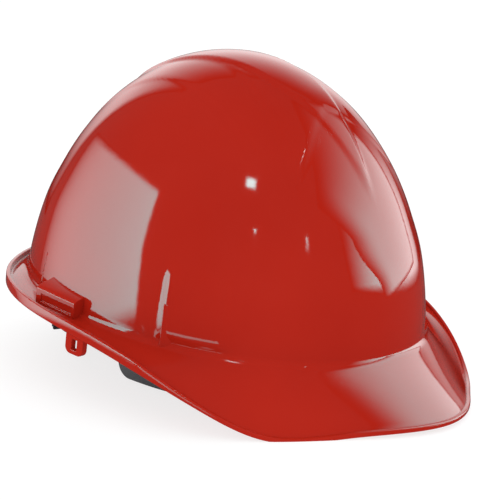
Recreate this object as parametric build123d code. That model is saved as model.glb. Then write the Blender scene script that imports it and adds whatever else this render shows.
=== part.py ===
from build123d import *
from math import acos, atan2, cos, degrees, exp, hypot, pi, radians, sin
import os
import numpy as np

# Safety helmet: moulded shell with a peak, four-point webbing suspension and a ratchet headband.
# Millimetres. The wearer faces -Y, the wearer's left is +X and +Z is up. Z = 0 is the brim level.
# Angles on the shell ("bearing") are measured from the front, towards the wearer's left.

# ---------------------------------------------------------------- driving dimensions
CROWN_HEIGHT = 139.5
EQUATOR_DROP = 21.5
DOME_POWER = 2.28
DOME_HALF_WIDTH = 96.0
DOME_HALF_LENGTH = 116.0
JUNCTION_HEIGHT = 7.0
WALL = 2.5
RIM_STATIONS = [  # bearing, plan radius, height of the brim edge
    (0, 156.0, -14.2),
    (20, 142.5, -17.8),
    (38, 136.0, -20.6),
    (52, 130.5, -10.4),
    (66, 122.5, -0.9),
    (80, 113.5, 2.9),
    (95, 111.0, 5.3),
    (120, 114.6, 5.9),
    (136, 117.4, 5.4),
    (152, 118.2, 4.2),
    (180, 121.5, 1.8),
]
LIP_HEIGHT = 3.0
LIP_THICKNESS = 2.3
LIP_ENDS_AT = 62.0
BRIM_THICKNESS = 2.4
CROWN_HOLE = 0.04
SECTION_STEP = 10

SLOT_FACING = 94.0
SLOT_FACE = 102.0
SLOT_BACK = 86.0
SLOT_CENTRE = 21.0
SLOT_LENGTH = 30.0
SLOT_GAP = 3.8
LUG_BEARING = 91.0
LUG_WIDTH = 12.6
LUG_DROP = 9.8
LUG_CORNER = 3.6

STRAP_CROSSING_Y = 10.3
STRAP_BEARINGS = {"front": 54.7, "rear": 125.3}
STRAP_WIDTH = 20.0
STRAP_THICKNESS = 1.2
STRAP_TOP = 104.0
STRAP_STRAIGHT = 29.0
STRAP_END = 13.5

SOCKET_BOTTOM = 6.0
SOCKET_TOP = 28.0
SOCKET_WIDTH = 26.0
BLADE_WIDTH = 18.0
BLADE_THICKNESS = 2.3
BLADE_PLAY = 0.15
STUD_HEIGHT = 8.0
STUD_RADIUS = 2.0
HEIGHT_TRAVEL = 4.0

BAND_HALF_WIDTH = 75.0
BAND_HALF_LENGTH = 94.0
BAND_THICKNESS = 2.0
BAND_TOP = 10.0
BAND_BOTTOM = -14.0
BAND_DIP = -25.0
BAND_JOIN_Y = 37.0

ARC_CENTRE_Y = 22.0
ARC_CENTRE_Z = -5.0
ARC_TILT = 12.0
ARC_BAND = (71.0, 73.0)
ARM_RIGHT = (73.4, 75.0)
ARM_LEFT = (75.4, 77.0)
ARM_HALF_HEIGHT = 6.0
ARM_END = 66.0
RACK_HALF_HEIGHT = 9.0
RACK_SPAN = 16.0

MODULE = 1.0
PINION_TEETH = 10
PITCH_RADIUS = MODULE * PINION_TEETH / 2
HOUSING_SPAN = 26.0
HOUSING_HALF_HEIGHT = 13.0
COVER = (77.4, 79.6)
KNOB_RADIUS = 15.0
KNOB_FACE = 92.0


# ---------------------------------------------------------------- small geometry helpers
def clamped_spline(stations, column):
    """Smooth value around the hat through the stations, level at the front and at the rear."""
    xs = np.array([row[0] for row in stations], float)
    ys = np.array([row[column] for row in stations], float)
    gaps = np.diff(xs)
    count = len(xs)
    matrix = np.eye(count)
    right = np.zeros(count)
    for i in range(1, count - 1):
        before, after = gaps[i - 1], gaps[i]
        matrix[i, i - 1:i + 2] = [after, 2 * (before + after), before]
        rise = after * (ys[i] - ys[i - 1]) / before + before * (ys[i + 1] - ys[i]) / after
        right[i] = 3 * rise
    slopes = np.linalg.solve(matrix, right)

    def value(bearing):
        angle = abs(bearing) % 360
        angle = min(angle, 360 - angle)
        i = int(min(max(np.searchsorted(xs, angle) - 1, 0), count - 2))
        u = (angle - xs[i]) / gaps[i]
        start = (2 * u ** 3 - 3 * u ** 2 + 1) * ys[i] + (u ** 3 - 2 * u ** 2 + u) * gaps[i] * slopes[i]
        end = (3 * u ** 2 - 2 * u ** 3) * ys[i + 1] + (u ** 3 - u ** 2) * gaps[i] * slopes[i + 1]
        return float(start + end)

    return value


rim_radius = clamped_spline(RIM_STATIONS, 1)
rim_height = clamped_spline(RIM_STATIONS, 2)


def around(bearing, radius, height):
    """Point at a bearing from the front, a plan radius and a height."""
    angle = radians(bearing)
    return Vector(radius * sin(angle), -radius * cos(angle), height)


def dome_radius(bearing, height, inset=0.0):
    """Plan radius of the dome, or of the surface inset inside it, at a height."""
    angle = radians(bearing)
    across = sin(angle) / (DOME_HALF_WIDTH - inset)
    along = cos(angle) / (DOME_HALF_LENGTH - inset)
    full = CROWN_HEIGHT - inset + EQUATOR_DROP
    at_junction = sin(acos(((JUNCTION_HEIGHT + EQUATOR_DROP) / full) ** (DOME_POWER / 2)))
    here = sin(acos(min(1.0, ((height + EQUATOR_DROP) / full) ** (DOME_POWER / 2))))
    return here / at_junction / hypot(across, along)


def dome_height(fraction, inset=0.0, lowest=JUNCTION_HEIGHT):
    """Height at a fraction of the way from the crown (0) down to the lowest height (1)."""
    full = CROWN_HEIGHT - inset + EQUATOR_DROP
    turn = acos(((lowest + EQUATOR_DROP) / full) ** (DOME_POWER / 2))
    return full * cos(turn * fraction) ** (2 / DOME_POWER) - EQUATOR_DROP


def prism(points, plane, thickness):
    """Solid from a closed outline in a plane's own axes, thickened to both sides."""
    outline = plane * make_face(Polyline(*points, close=True))
    return extrude(outline, thickness / 2, both=True)


def sector(inner, outer, start, end, low, high):
    """Ring sector about Z; angles run from +Y towards +X."""
    def spot(radius, angle):
        return (radius * sin(radians(angle)), radius * cos(radians(angle)))

    middle = (start + end) / 2
    outline = [
        ThreePointArc(spot(inner, start), spot(inner, middle), spot(inner, end)),
        Line(spot(inner, end), spot(outer, end)),
        ThreePointArc(spot(outer, end), spot(outer, middle), spot(outer, start)),
        Line(spot(outer, start), spot(inner, start)),
    ]
    face = Pos(0, 0, low) * make_face(outline)
    return extrude(face, high - low, dir=(0, 0, 1))


def rod(radius, start, end, x=0.0, z=0.0):
    """Cylinder along Y between two Y values."""
    body = Cylinder(radius, end - start)
    return Pos(x, (start + end) / 2, z) * Rot(90, 0, 0) * body


def left_and_right(solid):
    return solid, mirror(solid, Plane.YZ)


def at_arc(solid):
    """Move a solid from the rear arc's own frame to the helmet's frame."""
    return Pos(0, ARC_CENTRE_Y, ARC_CENTRE_Z) * Rot(-ARC_TILT, 0, 0) * solid


# ---------------------------------------------------------------- shell
def shell_section(bearing):
    """Closed outline of the wall, brim and lip in the upright plane at one bearing."""
    fractions = [CROWN_HOLE, 0.2, 0.35, 0.5, 0.65, 0.82, 1.0]
    floor_in = JUNCTION_HEIGHT - WALL - 1.0
    outer = []
    inner = []
    for fraction in fractions:
        height = dome_height(fraction)
        outer.append(around(bearing, dome_radius(bearing, height), height))
        height = dome_height(fraction, WALL, floor_in)
        inner.append(around(bearing, dome_radius(bearing, height, WALL), height))
    radius = rim_radius(bearing)
    height = rim_height(bearing)
    bearing_off_front = min(abs(bearing), 360 - abs(bearing))
    lip = 0.4 + LIP_HEIGHT / (1 + exp((LIP_ENDS_AT - bearing_off_front) / 4))
    corners = [
        outer[-1],
        around(bearing, radius - LIP_THICKNESS, height),
        around(bearing, radius - LIP_THICKNESS + 0.2, height + lip),
        around(bearing, radius, height + lip - 0.3),
        around(bearing, radius, height - BRIM_THICKNESS),
        inner[-1],
    ]
    edges = [Spline(*outer)]
    edges += [Line(a, b) for a, b in zip(corners, corners[1:])]
    edges.append(Spline(*reversed(inner)))
    edges.append(Line(inner[0], outer[0]))
    return Wire(edges)


def crown_plug():
    """Small disc that closes the dome at its apex."""
    low = CROWN_HEIGHT - WALL
    outline = Polyline((0, low - 0.1), (8, low - 0.3), (8, low + 1.8), (0, CROWN_HEIGHT), close=True)
    return revolve(Plane.XZ * make_face(outline), Axis.Z)


def side_frame(bearing, radius, height=0.0):
    """Location whose X runs forwards round the side, Y points outwards and Z is up."""
    spot = around(bearing, radius, height)
    return Pos(spot.X, spot.Y, spot.Z) * Rot(0, 0, bearing + 180)


def accessory_slot():
    """Moulded box in the rain channel with an upright slot that takes ear defenders."""
    out = SLOT_FACE - SLOT_BACK
    profile = [(0, 4.2), (out, 4.2), (out, 14.6), (out - 1.4, 15.8), (0, 20.0)]
    frame = side_frame(SLOT_FACING, SLOT_BACK) * Pos(-SLOT_CENTRE, 0, 0)
    box = frame * prism(profile, CROSS_SECTION, SLOT_LENGTH)
    box -= extrude(Ellipse(DOME_HALF_WIDTH - WALL / 2, DOME_HALF_LENGTH - WALL / 2), 60, both=True)
    gap = frame * Pos(0, out - 1.6 - SLOT_GAP / 2, 0) * Box(SLOT_LENGTH - 8, SLOT_GAP, 24)
    groove = frame * Pos(-1, out, 10.2) * Box(SLOT_LENGTH - 6, 1.6, 4)
    return box, gap, groove


def strap_lug():
    """Eye that hangs below the brim edge for a chin strap."""
    base = rim_height(LUG_BEARING) - BRIM_THICKNESS
    outline = RectangleRounded(LUG_WIDTH, LUG_DROP + 6, LUG_CORNER)
    tab = Plane.XZ * (Pos(0, base - LUG_DROP / 2 + 3, 0) * outline)
    tab = extrude(tab, 1.7, both=True) & Pos(0, 0, base + 1.5 - 20) * Box(30, 30, 40)
    eye = Pos(0, 0, base - LUG_DROP + 5.2) * Box(3.8, 10, 5.6)
    return side_frame(LUG_BEARING, rim_radius(LUG_BEARING) - 2.3) * (tab - eye)


def wall_distance(bearing, height):
    """Distance from the strap crossing to the inner wall, along a strap's bearing."""
    angle = radians(bearing)
    low, high = 40.0, 140.0
    for _ in range(40):
        middle = (low + high) / 2
        x, y = middle * sin(angle), STRAP_CROSSING_Y - middle * cos(angle)
        inside = hypot(x, y) < dome_radius(degrees(atan2(x, -y)), height, WALL)
        low, high = (middle, high) if inside else (low, middle)
    return low


def strap_frame(bearing):
    """Location at the strap crossing whose Y points outwards along one strap half."""
    return Pos(0, STRAP_CROSSING_Y, 0) * Rot(0, 0, bearing + 180)


CROSS_SECTION = Plane(origin=(0, 0, 0), x_dir=(0, 1, 0), z_dir=(1, 0, 0))


def key_layout(bearing):
    """Distances from the strap crossing: wall, blade's inner face, plate's inner face."""
    wall = wall_distance(bearing, SOCKET_TOP - 3)
    return wall, wall - 4.6, wall - 9.8


def key_socket(bearing):
    """Pocket moulded inside the wall, open below, that takes a suspension key."""
    wall, blade, _ = key_layout(bearing)
    heights = [SOCKET_TOP, 17.0, SOCKET_BOTTOM]
    outer = [(wall_distance(bearing, height) + 0.9, height) for height in heights]
    profile = [(wall - 7, SOCKET_BOTTOM), (wall - 7, SOCKET_TOP)] + outer
    block = prism(profile, CROSS_SECTION, SOCKET_WIDTH)
    width = BLADE_WIDTH + 2 * BLADE_PLAY
    depth = BLADE_THICKNESS + 2 * BLADE_PLAY
    top = SOCKET_TOP - 2
    cavity = Pos(0, blade + BLADE_THICKNESS / 2, (SOCKET_BOTTOM + top) / 2 - 2)
    cavity = cavity * Box(width, depth, top - SOCKET_BOTTOM + 4)
    frame = strap_frame(bearing)
    return frame * block, frame * cavity


def make_shell():
    bearings = range(-SECTION_STEP, 180 + 2 * SECTION_STEP, SECTION_STEP)
    wall = Solid.make_loft([shell_section(bearing) for bearing in bearings])
    half = wall & Pos(200, 0, 60) * Box(400, 500, 400)
    box, gap, groove = accessory_slot()
    half = half + box - gap - groove
    half = half + strap_lug()
    for bearing in STRAP_BEARINGS.values():
        block, cavity = key_socket(bearing)
        half = half + block - cavity
    return half + mirror(half, Plane.YZ) + crown_plug()


# ---------------------------------------------------------------- suspension
def suspension_key(bearing):
    """Clip that plugs into a socket, carries a strap end and hangs the headband on a stud."""
    _, blade, plate = key_layout(bearing)
    foot = SOCKET_BOTTOM - 0.4
    blade_solid = Pos(0, blade + BLADE_THICKNESS / 2, (foot + 25) / 2)
    blade_solid = blade_solid * Box(BLADE_WIDTH, BLADE_THICKNESS, 25 - foot)
    thickness = 2.3
    bridge = Pos(0, (plate + blade + BLADE_THICKNESS) / 2, (2 + foot) / 2)
    bridge = bridge * Box(24, blade + BLADE_THICKNESS - plate, foot - 2)
    front = Pos(0, plate + thickness / 2, 15) * Box(24, thickness, 26)
    front = fillet(front.edges().filter_by(Axis.Y), 3)
    window = Pos(0, plate, 21) * Box(STRAP_WIDTH + 1, 10, 3.2)
    stud_hole = Pos(0, 0, STUD_HEIGHT) * rod(STUD_RADIUS + 0.05, plate - 1, plate + 5)
    key = blade_solid + bridge + (front - window - stud_hole)
    return strap_frame(bearing) * key


def band_distance(bearing, inset=0.0):
    """Distance from the strap crossing to the headband's outer face, less an inset."""
    angle = radians(bearing)
    half_width = BAND_HALF_WIDTH + BAND_THICKNESS / 2 - inset
    half_length = BAND_HALF_LENGTH + BAND_THICKNESS / 2 - inset
    low, high = 40.0, 140.0
    for _ in range(40):
        middle = (low + high) / 2
        x, y = middle * sin(angle), STRAP_CROSSING_Y - middle * cos(angle)
        if y > BAND_JOIN_Y:
            inside = hypot(x, y - ARC_CENTRE_Y) < ARC_BAND[1] - inset
        else:
            inside = (x / half_width) ** 2 + (y / half_length) ** 2 < 1
        low, high = (middle, high) if inside else (low, middle)
    return low


def hanger_stud(bearing):
    """Headed peg through the key's plate and the headband's upright slot."""
    _, _, plate = key_layout(bearing)
    face = band_distance(bearing, BAND_THICKNESS) - 1.8
    shaft = Pos(0, 0, STUD_HEIGHT) * rod(STUD_RADIUS, face, plate + 2.6)
    head = Pos(0, 0, STUD_HEIGHT) * rod(4.2, face - 1.4, face)
    head = fillet(head.edges().filter_by(GeomType.CIRCLE).group_by(Axis.Y)[0], 0.6)
    shoulder = Pos(0, 0, STUD_HEIGHT) * rod(3.4, band_distance(bearing) + 1.2, plate - 0.05)
    return strap_frame(bearing) * (shaft + head + shoulder)


def strap_profile(front_reach, rear_reach, top):
    """Points of the arch in its upright plane, from above the front key to above the rear one."""
    flank = [(1.0, STRAP_STRAIGHT), (0.93, 50.0), (0.77, 74.0), (0.48, 96.0)]
    rise = (top - STRAP_STRAIGHT) / (STRAP_TOP - STRAP_STRAIGHT)
    lifted = [(share, STRAP_STRAIGHT + (height - STRAP_STRAIGHT) * rise) for share, height in flank]
    front = [(front_reach * share, height) for share, height in lifted]
    rear = [(-rear_reach * share, height) for share, height in reversed(lifted)]
    return front + [(0, top)] + rear


def offset_points(points, distance):
    """The same run of points moved to the left of its direction of travel."""
    moved = []
    for i, (x, y) in enumerate(points):
        before = points[max(i - 1, 0)]
        after = points[min(i + 1, len(points) - 1)]
        along = (after[0] - before[0], after[1] - before[1])
        size = hypot(*along)
        moved.append((x - along[1] / size * distance, y + along[0] / size * distance))
    return moved


def crown_strap(side, top):
    """Webbing arch from a front key on one side to the rear key on the other."""
    front, rear = STRAP_BEARINGS["front"], STRAP_BEARINGS["rear"]
    gap = 0.1
    reaches = [key_layout(bearing)[2] - gap for bearing in (front, rear)]
    outside = strap_profile(reaches[0], reaches[1], top)
    inside = offset_points(outside, STRAP_THICKNESS)
    inside[0] = (outside[0][0] - STRAP_THICKNESS, STRAP_STRAIGHT)
    inside[-1] = (outside[-1][0] + STRAP_THICKNESS, STRAP_STRAIGHT)
    ends = [(points[0][0], STRAP_END) for points in (outside, inside)]
    far_ends = [(points[-1][0], STRAP_END) for points in (outside, inside)]
    up, down = (0, 1), (0, -1)
    edges = [
        Line(ends[0], outside[0]),
        Spline(*outside, tangents=(up, down)),
        Line(outside[-1], far_ends[0]),
        Line(far_ends[0], far_ends[1]),
        Line(far_ends[1], inside[-1]),
        Spline(*reversed(inside), tangents=(up, down)),
        Line(inside[0], ends[1]),
        Line(ends[1], ends[0]),
    ]
    strap = extrude(CROSS_SECTION * make_face(edges), STRAP_WIDTH / 2, both=True)
    strap = strap_frame(front) * strap
    return strap if side == "left" else mirror(strap, Plane.YZ)


# ---------------------------------------------------------------- headband
def oval_ring(inner_inset, thickness, low, high):
    """Upright oval ring that follows the headband, between two heights."""
    half_width = BAND_HALF_WIDTH + BAND_THICKNESS / 2 - inner_inset
    half_length = BAND_HALF_LENGTH + BAND_THICKNESS / 2 - inner_inset
    outline = Ellipse(half_width, half_length) - Ellipse(half_width - thickness, half_length - thickness)
    return extrude(Pos(0, 0, low) * outline, high - low, dir=(0, 0, 1))


def band_side_view():
    """Outline of the headband from the side: it dips in front of the ears."""
    low, dip = BAND_BOTTOM, BAND_DIP
    curve = [
        Line((-120, BAND_TOP), (-120, low)),
        Line((-120, low), (-60, low)),
        Spline((-60, low), (-40, dip), tangents=((1, 0), (1, 0))),
        Line((-40, dip), (-6, dip)),
        ThreePointArc((-6, dip), (0.5, dip + 3.5), (2, low)),
        Line((2, low), (60, low)),
        Line((60, low), (60, BAND_TOP)),
        Line((60, BAND_TOP), (-120, BAND_TOP)),
    ]
    return extrude(Plane.YZ * make_face(curve), 120, both=True)


def make_headband():
    ring = oval_ring(0, BAND_THICKNESS, BAND_DIP, BAND_TOP) & band_side_view()
    ring = ring & Pos(0, BAND_JOIN_Y - 200, 0) * Box(300, 400, 200)
    top = STUD_HEIGHT + 11.5
    rear_band = Pos(0, ARC_CENTRE_Y, 0) * sector(*ARC_BAND, 40, 90, -12, top)
    tab_bands = {"front": oval_ring(0, BAND_THICKNESS, 0, top), "rear": rear_band}
    for place, bearing in STRAP_BEARINGS.items():
        frame = strap_frame(bearing)
        outline = RectangleRounded(17, 34, 6)
        tab = frame * Pos(0, 82, top - 17) * Rot(90, 0, 0) * extrude(outline, 30, both=True)
        for solid in left_and_right(tab_bands[place] & tab):
            ring = ring + solid
    for side in (1, -1):
        end = sector(ARC_BAND[0], ARC_BAND[1], side * 45, side * 84, -ARM_HALF_HEIGHT - 2, ARM_HALF_HEIGHT + 2)
        ring = ring + at_arc(end)
        outer = ARM_LEFT[1] if side == 1 else ARM_RIGHT[1]
        for angle in (47, 54):
            ring = ring + at_arc(arm_loop(side * angle, outer + 0.4))
    for bearing in STRAP_BEARINGS.values():
        height = 2 * (STUD_RADIUS + 0.1 + HEIGHT_TRAVEL + 0.2)
        hole = SlotOverall(height, 2 * (STUD_RADIUS + 0.1), rotation=90)
        cut = extrude(hole, 30, both=True)
        cut = strap_frame(bearing) * Pos(0, 82, STUD_HEIGHT) * Rot(90, 0, 0) * cut
        for solid in left_and_right(cut):
            ring = ring - solid
    for bearing in (-24, -12, 0, 12, 24):
        slit = side_frame(bearing, 92, -2) * Box(9, 12, 4)
        ring = ring - slit
    return ring


def arm_loop(angle, inside):
    """Belt loop on the headband's end that guides a sliding arm."""
    half = 1.8 / inside * 180 / pi
    room = ARM_HALF_HEIGHT + 0.4
    block = sector(ARC_BAND[0] + 0.5, inside + 1.6, angle - half, angle + half, -room - 1.6, room + 1.6)
    window = sector(ARC_BAND[1], inside, angle - 3 * half, angle + 3 * half, -room, room)
    return block - window


def brow_ring(inset, thickness, low, high, reach):
    ring = oval_ring(BAND_THICKNESS + inset, thickness, low, high)
    half = reach
    wedge_points = [(0, 0)] + [
        (170 * sin(radians(angle)), -170 * cos(radians(angle))) for angle in range(-half, half + 1, 8)
    ]
    wedge = extrude(make_face(Polyline(*wedge_points, close=True)), 80, both=True)
    return ring & wedge


# ---------------------------------------------------------------- ratchet
def rack_arm(radii, angle_sign, tooth_side):
    """Arm of the size adjuster: a curved strip with a toothed window over the pinion."""
    inner, outer = radii
    middle = (inner + outer) / 2
    pitch_angle = degrees(pi * MODULE / middle)
    strip = sector(inner, outer, 14, ARM_END, -ARM_HALF_HEIGHT, ARM_HALF_HEIGHT)
    rack = sector(inner, outer, -RACK_SPAN - 4, RACK_SPAN + 4, -RACK_HALF_HEIGHT, RACK_HALF_HEIGHT)
    arm = strip + rack
    root = PITCH_RADIUS + 1.1 * MODULE
    clear = PITCH_RADIUS + 1.4 * MODULE
    arm = arm - sector(inner - 1, outer + 1, -RACK_SPAN, RACK_SPAN, -clear, root)
    half_root, half_tip = 0.85, 0.25
    tooth = [
        (-half_root, root + 0.4),
        (-half_root, root),
        (-half_tip, PITCH_RADIUS - 0.85 * MODULE),
        (half_tip, PITCH_RADIUS - 0.85 * MODULE),
        (half_root, root),
        (half_root, root + 0.4),
    ]
    solid = Pos(0, middle, 0) * prism(tooth, Plane.XZ, outer - inner)
    count = int(RACK_SPAN / pitch_angle - 0.5)
    for i in range(-count, count + 1):
        arm = arm + Rot(0, 0, -i * pitch_angle) * solid
    if tooth_side < 0:
        arm = mirror(arm, Plane.XY)
    if angle_sign < 0:
        arm = mirror(arm, Plane.YZ)
    return at_arc(arm)


def drive_pinion():
    """Ten-tooth pinion with a journal, a collar and a square drive, turning about Y."""
    tip, root = PITCH_RADIUS + 0.85 * MODULE, PITCH_RADIUS - 1.25 * MODULE
    step = 360 / PINION_TEETH
    outline = []
    for i in range(PINION_TEETH):
        centre = (i + 0.5) * step
        for radius, half in ((root, 9.5), (PITCH_RADIUS, 6.2), (tip, 2.6)):
            outline.append((radius, centre - half))
        for radius, half in ((tip, 2.6), (PITCH_RADIUS, 6.2), (root, 9.5)):
            outline.append((radius, centre + half))
    points = [(radius * sin(radians(angle)), radius * cos(radians(angle))) for radius, angle in outline]
    start, end = ARM_RIGHT[0] - 0.2, ARM_LEFT[1]
    gear = Pos(0, (start + end) / 2, 0) * prism(points, Plane.XZ, end - start)
    journal = rod(2.0, start - 1.6, start)
    collar = rod(3.6, end, COVER[1] + 0.9)
    drive = Pos(0, (COVER[1] + 0.9 + 84) / 2, 0) * Box(5, 84 - COVER[1] - 0.9, 5)
    bore = rod(0.95, 78, 85)
    return at_arc(gear + journal + collar + drive - bore)


def screw_places():
    for angle in (-21, 21):
        for height in (-11.2, 11.2):
            yield Rot(0, 0, -angle) * Pos(0, 0, height)


def ratchet_housing():
    """Head-side half of the ratchet: shield-shaped back, two rails and the pinion's bearing."""
    span, half = HOUSING_SPAN, HOUSING_HALF_HEIGHT
    back = sector(70.6, ARM_RIGHT[0] - 0.4, -span, span, -20, half)
    shield = Pos(0, 0, -3.5) * RectangleRounded(62, 33, 9)
    shield = Plane.XZ * shield
    back = back & extrude(shield, 120, both=True)
    rails = sector(72.5, COVER[0], -span, span, RACK_HALF_HEIGHT + 0.4, half)
    rails = rails + sector(72.5, COVER[0], -span, span, -half, -RACK_HALF_HEIGHT - 0.4)
    housing = back + rails
    housing = housing - rod(2.05, ARM_RIGHT[0] - 2.0, 80)
    for place in screw_places():
        housing = housing - place * rod(0.95, 73.5, 80)
    return at_arc(housing)


def ratchet_cover():
    """Outer half of the ratchet with a flat seat and a click ring for the knob."""
    span, half = HOUSING_SPAN, HOUSING_HALF_HEIGHT
    plate = sector(COVER[0], COVER[1], -span, span, -half, half)
    outline = Plane.XZ * RectangleRounded(120, 2 * half, 4)
    cover = plate & extrude(outline, 120, both=True)
    cover = cover + rod(12.6, COVER[0], COVER[1] + 0.6)
    cover = cover + (rod(11.4, COVER[1], 83.4) - rod(10.2, COVER[1] + 0.6, 84))
    for i in range(24):
        bump = Rot(0, i * 15, 0) * rod(0.5, COVER[1] + 0.4, 83.4, x=10.3)
        cover = cover + bump
    cover = cover - rod(3.65, 76, 81)
    for place in screw_places():
        cover = cover - place * rod(1.1, 76, 82)
    return at_arc(cover)


def cover_screws():
    """Four small pan-head screws that close the ratchet."""
    screws = []
    for place in screw_places():
        shank = rod(0.9, 74.0, COVER[1] + 0.1)
        head = rod(1.9, COVER[1] + 0.1, COVER[1] + 1.2)
        cross = Pos(0, COVER[1] + 1.2, 0) * (Box(2.2, 0.8, 0.5) + Box(0.5, 0.8, 2.2))
        screws.append(at_arc(place * (shank + head - cross)))
    return Compound(screws)


def detent_spring():
    """Three-armed leaf that turns with the knob and clicks past the ring's bumps."""
    low, high = COVER[1] + 0.9, 82.9
    spring = rod(4.6, low, high)
    for i in range(3):
        arm = Plane.XZ * make_face([
            ThreePointArc((3.6, -1.8), (7.4, -1.2), (9.3, 2.2)),
            Line((9.3, 2.2), (8.5, 2.8)),
            ThreePointArc((8.5, 2.8), (6.9, -0.1), (3.6, -0.6)),
            Line((3.6, -0.6), (3.6, -1.8)),
        ])
        leaf = Pos(0, (low + high) / 2, 0) * extrude(arm, (high - low) / 2, both=True)
        spring = spring + Rot(0, 120 * i, 0) * leaf
    spring = spring - Pos(0, 81, 0) * Box(5.1, 10, 5.1)
    return at_arc(spring)


def adjust_knob():
    """Grip knob with scalloped edge, a deep skirt over the click ring and a screw recess."""
    base = COVER[1] + 1.0
    knob = rod(KNOB_RADIUS, base, KNOB_FACE)
    knob = chamfer(knob.edges().filter_by(GeomType.CIRCLE).group_by(Axis.Y)[-1], 1.2)
    for i in range(12):
        knob = knob - Rot(0, i * 30, 0) * rod(2.0, base - 1, KNOB_FACE + 1, x=KNOB_RADIUS + 1.0)
    knob = knob - rod(12.0, base - 1, 83.6)
    knob = knob - Pos(0, 84, 0) * Box(5.1, 1.4, 5.1)
    knob = knob - rod(1.05, 80, KNOB_FACE + 1) - rod(3.0, 88.6, KNOB_FACE + 1)
    return at_arc(knob)


def knob_screw():
    shank = rod(0.9, 79.0, 88.6)
    head = rod(2.7, 88.6, 90.6)
    cross = Pos(0, 90.6, 0) * (Box(3.2, 1.6, 0.7) + Box(0.7, 1.6, 3.2))
    return at_arc(shank + head - cross)


def nape_pad():
    """Soft pad between the ratchet and the wearer's nape."""
    pad = sector(66.6, 70.2, -24, 24, -24, 11)
    outline = Plane.XZ * (Pos(0, 0, 0) * make_face([
        Line((-28, 11), (28, 11)),
        Line((28, 11), (28, -7)),
        ThreePointArc((28, -7), (0, -22), (-28, -7)),
        Line((-28, -7), (-28, 11)),
    ]))
    return at_arc(pad & extrude(outline, 120, both=True))


# ---------------------------------------------------------------- build and export
def build():
    parts = {"shell": make_shell()}
    studs = []
    for place, bearing in STRAP_BEARINGS.items():
        for side, key in zip(("left", "right"), left_and_right(suspension_key(bearing))):
            parts[f"suspension_key_{place}_{side}"] = key
        studs += left_and_right(hanger_stud(bearing))
    parts["hanger_studs"] = Compound([stud.solids()[0] for stud in studs])
    parts["crown_strap_lower"] = crown_strap("left", STRAP_TOP)
    parts["crown_strap_upper"] = crown_strap("right", STRAP_TOP + STRAP_THICKNESS + 1.3)
    parts["headband"] = make_headband()
    parts["brow_foam"] = brow_ring(0.3, 2.6, BAND_BOTTOM + 1, BAND_TOP - 1, 40)
    parts["brow_cover"] = brow_ring(3.1, 0.8, BAND_BOTTOM - 1, BAND_TOP + 1, 40)
    parts["nape_arm_left"] = rack_arm(ARM_LEFT, 1, 1)
    parts["nape_arm_right"] = rack_arm(ARM_RIGHT, -1, -1)
    parts["ratchet_housing"] = ratchet_housing()
    parts["ratchet_cover"] = ratchet_cover()
    parts["cover_screws"] = cover_screws()
    parts["drive_pinion"] = drive_pinion()
    parts["detent_spring"] = detent_spring()
    parts["adjust_knob"] = adjust_knob()
    parts["knob_screw"] = knob_screw()
    parts["nape_pad"] = nape_pad()
    return parts


os.makedirs("parts", exist_ok=True)
for name, solid in build().items():
    export_step(solid, f"parts/{name}.step")
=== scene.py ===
from math import acos, atan2, cos, degrees, exp, hypot, pi, radians, sin

import bmesh
import bpy
import numpy as np
from mathutils import Matrix, Vector


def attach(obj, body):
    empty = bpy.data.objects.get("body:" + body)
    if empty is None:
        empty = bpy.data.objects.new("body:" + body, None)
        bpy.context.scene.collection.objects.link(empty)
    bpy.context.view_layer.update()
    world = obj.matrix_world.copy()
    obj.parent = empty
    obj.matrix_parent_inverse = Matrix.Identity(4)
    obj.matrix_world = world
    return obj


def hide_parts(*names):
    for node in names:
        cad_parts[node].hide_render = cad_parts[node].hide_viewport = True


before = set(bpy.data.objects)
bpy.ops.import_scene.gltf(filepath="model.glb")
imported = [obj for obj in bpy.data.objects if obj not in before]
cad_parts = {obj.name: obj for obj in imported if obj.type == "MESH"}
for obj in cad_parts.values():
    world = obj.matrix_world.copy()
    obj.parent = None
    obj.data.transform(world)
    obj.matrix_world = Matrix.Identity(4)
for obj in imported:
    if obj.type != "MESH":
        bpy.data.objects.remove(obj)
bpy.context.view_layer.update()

MM = 0.001

# The helmet's own dimensions, in millimetres, as in the CAD source.
CROWN_HEIGHT, EQUATOR_DROP, DOME_POWER = 139.5, 21.5, 2.28
HALF_WIDTH, HALF_LENGTH = 96.0, 116.0
JUNCTION, WALL = 7.0, 2.5
RIM_STATIONS = [
    (0, 156.0, -14.2),
    (20, 142.5, -17.8),
    (38, 136.0, -20.6),
    (52, 130.5, -10.4),
    (66, 122.5, -0.9),
    (80, 113.5, 2.9),
    (95, 111.0, 5.3),
    (120, 114.6, 5.9),
    (136, 117.4, 5.4),
    (152, 118.2, 4.2),
    (180, 121.5, 1.8),
]
LIP_THICKNESS, BRIM_THICKNESS, LIP_HEIGHT, LIP_ENDS_AT = 2.3, 2.4, 3.0, 62.0
STRAP_BEARINGS = (54.7, 125.3)
STRAP_CROSSING_Y = 10.3
STRAP_WIDTH, STRAP_THICKNESS = 20.0, 1.2
STRAP_FOOT, STRAP_STRAIGHT, STRAP_CROWN = 14.2, 29.0, 104.0
SOCKET_BOTTOM, SOCKET_TOP, SOCKET_HALF_WIDTH = 6.0, 28.0, 13.0
KEY_LEVEL, KEY_DEPTH = 25.0, 9.9
BAND_HALF_WIDTH, BAND_HALF_LENGTH, BAND_INSET = 76.0, 95.0, 2.45
NAPE_RADIUS, NAPE_HALF_WIDTH = 70.0, 28.0


# ---------------------------------------------------------------- node materials
def new_material(name):
    material = bpy.data.materials.new(name)
    material.use_nodes = True
    tree = material.node_tree
    shader = next(n for n in tree.nodes if n.type == "BSDF_PRINCIPLED")
    return material, tree, shader


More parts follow.
